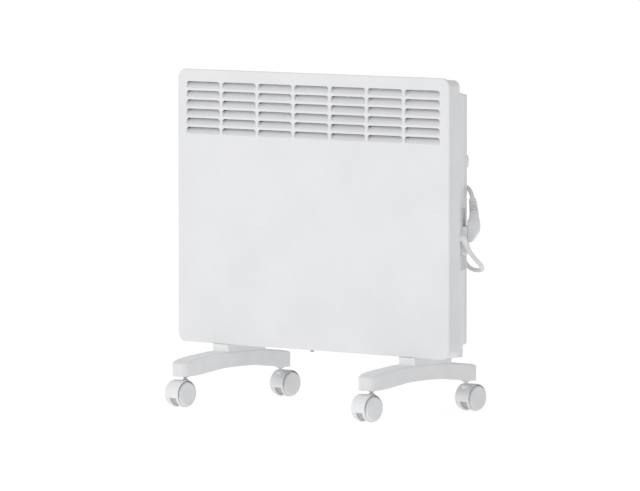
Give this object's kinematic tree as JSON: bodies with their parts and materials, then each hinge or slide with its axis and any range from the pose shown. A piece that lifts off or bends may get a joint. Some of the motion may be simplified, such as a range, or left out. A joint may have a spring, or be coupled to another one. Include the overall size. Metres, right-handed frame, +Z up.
{
  "type": "panel convector heater",
  "caption": "Flat white electric panel convector heater with louvres across the top of its front, standing on two arched feet with swivelling twin-wheel castors, plug parked on its side.",
  "frame": {"origin": "on the floor, under the middle of the footprint of the wheels and the panel", "axes": "+X to the right as seen from the front, +Y to the rear so that the panel faces -Y, +Z up"},
  "size_m": [0.5848, 0.3052, 0.547],
  "materials": {
    "cover_white": "white powder coat, satin",
    "casing_white": "white powder coat, satin",
    "zinc_steel": "zinc plated",
    "fin_aluminium": "extruded, matt",
    "element_steel": "oxidised",
    "insulator_ceramic": "unglazed",
    "inner_plastic": "moulded",
    "control_white": "moulded, fine grain",
    "knob_grey": "moulded, ribbed edge",
    "thermostat_dark": "moulded",
    "shaft_steel": "turned",
    "rocker_dark": "moulded",
    "wire_brown": "extruded",
    "wire_blue": "extruded",
    "wire_green": "extruded",
    "wire_black": "extruded",
    "cord_white": "moulded and extruded",
    "pin_nickel": "nickel plated",
    "holder_white": "moulded",
    "pad_grey": "moulded",
    "foot_white": "moulded, fine grain",
    "stem_steel": "zinc plated",
    "hood_white": "moulded",
    "axle_steel": "zinc plated",
    "wheel_grey": "moulded"
  },
  "bodies": {
    "heater": {"back_plate": "casing_white", "back_plate_screws": "zinc_steel", "castor_fl_stem": "stem_steel", "castor_fr_stem": "stem_steel", "castor_rl_stem": "stem_steel", "castor_rr_stem": "stem_steel", "control_plate": "control_white", "cord_coil": "cord_white", "cord_gland": "cord_white", "cord_holder": "holder_white", "cord_holder_pads": "pad_grey", "cord_hook": "holder_white", "cord_tie": "cord_white", "cover_clips": "zinc_steel", "cover_lock_screw": "zinc_steel", "element_bracket_left": "zinc_steel", "element_bracket_right": "zinc_steel", "element_fins": "fin_aluminium", "element_insulators": "insulator_ceramic", "element_rod": "element_steel", "foot_left": "foot_white", "foot_right": "foot_white", "foot_screws": "zinc_steel", "front_cover": "cover_white", "heat_shield": "zinc_steel", "intake_grille": "casing_white", "plug_body": "cord_white", "plug_cord": "cord_white", "plug_pins": "pin_nickel", "power_cord": "cord_white", "rear_casing": "casing_white", "surround_frame": "casing_white", "switch_housing": "control_white", "terminal_block": "inner_plastic", "thermal_cutout": "inner_plastic", "thermostat_body": "thermostat_dark", "tilt_switch": "inner_plastic", "wire_earth": "wire_green", "wire_live": "wire_brown", "wire_neutral": "wire_blue", "wire_switched": "wire_black"},
    "thermostat_dial": {"thermostat_knob": "knob_grey", "thermostat_shaft": "shaft_steel"},
    "rocker": {"switch_rocker": "rocker_dark"},
    "swivel_fl": {"castor_fl_hood": "hood_white", "castor_fl_axle": "axle_steel"},
    "wheel_fl_a": {"castor_fl_wheel_a": "wheel_grey"},
    "wheel_fl_b": {"castor_fl_wheel_b": "wheel_grey"},
    "swivel_fr": {"castor_fr_hood": "hood_white", "castor_fr_axle": "axle_steel"},
    "wheel_fr_a": {"castor_fr_wheel_a": "wheel_grey"},
    "wheel_fr_b": {"castor_fr_wheel_b": "wheel_grey"},
    "swivel_rl": {"castor_rl_hood": "hood_white", "castor_rl_axle": "axle_steel"},
    "wheel_rl_a": {"castor_rl_wheel_a": "wheel_grey"},
    "wheel_rl_b": {"castor_rl_wheel_b": "wheel_grey"},
    "swivel_rr": {"castor_rr_hood": "hood_white", "castor_rr_axle": "axle_steel"},
    "wheel_rr_a": {"castor_rr_wheel_a": "wheel_grey"},
    "wheel_rr_b": {"castor_rr_wheel_b": "wheel_grey"}
  },
  "joints": [
    {"name": "thermostat_turn", "type": "hinge", "parent": "heater", "child": "thermostat_dial", "pos_m": [-0.26658, 0.02795, 0.47], "axis": [-0.8413, 0.5405, 0], "range_deg": [-270, 0]},
    {"name": "rocker_tip", "type": "hinge", "parent": "heater", "child": "rocker", "pos_m": [-0.26658, 0.02795, 0.425], "axis": [0, 0, 1], "range_deg": [0, 12]},
    {"name": "swivel_fl_turn", "type": "hinge", "parent": "heater", "child": "swivel_fl", "pos_m": [-0.2, -0.1175, 0.04], "axis": [0, 0, 1], "continuous": true},
    {"name": "wheel_fl_a_spin", "type": "hinge", "parent": "swivel_fl", "child": "wheel_fl_a", "pos_m": [-0.2, -0.1295, 0.021], "axis": [1, 0, 0], "continuous": true},
    {"name": "wheel_fl_b_spin", "type": "hinge", "parent": "swivel_fl", "child": "wheel_fl_b", "pos_m": [-0.2, -0.1295, 0.021], "axis": [1, 0, 0], "continuous": true},
    {"name": "swivel_fr_turn", "type": "hinge", "parent": "heater", "child": "swivel_fr", "pos_m": [0.2, -0.1175, 0.04], "axis": [0, 0, 1], "continuous": true},
    {"name": "wheel_fr_a_spin", "type": "hinge", "parent": "swivel_fr", "child": "wheel_fr_a", "pos_m": [0.2, -0.1295, 0.021], "axis": [1, 0, 0], "continuous": true},
    {"name": "wheel_fr_b_spin", "type": "hinge", "parent": "swivel_fr", "child": "wheel_fr_b", "pos_m": [0.2, -0.1295, 0.021], "axis": [1, 0, 0], "continuous": true},
    {"name": "swivel_rl_turn", "type": "hinge", "parent": "heater", "child": "swivel_rl", "pos_m": [-0.2, 0.1175, 0.04], "axis": [0, 0, 1], "continuous": true},
    {"name": "wheel_rl_a_spin", "type": "hinge", "parent": "swivel_rl", "child": "wheel_rl_a", "pos_m": [-0.2, 0.1295, 0.021], "axis": [1, 0, 0], "continuous": true},
    {"name": "wheel_rl_b_spin", "type": "hinge", "parent": "swivel_rl", "child": "wheel_rl_b", "pos_m": [-0.2, 0.1295, 0.021], "axis": [1, 0, 0], "continuous": true},
    {"name": "swivel_rr_turn", "type": "hinge", "parent": "heater", "child": "swivel_rr", "pos_m": [0.2, 0.1175, 0.04], "axis": [0, 0, 1], "continuous": true},
    {"name": "wheel_rr_a_spin", "type": "hinge", "parent": "swivel_rr", "child": "wheel_rr_a", "pos_m": [0.2, 0.1295, 0.021], "axis": [1, 0, 0], "continuous": true},
    {"name": "wheel_rr_b_spin", "type": "hinge", "parent": "swivel_rr", "child": "wheel_rr_b", "pos_m": [0.2, 0.1295, 0.021], "axis": [1, 0, 0], "continuous": true}
  ]
}
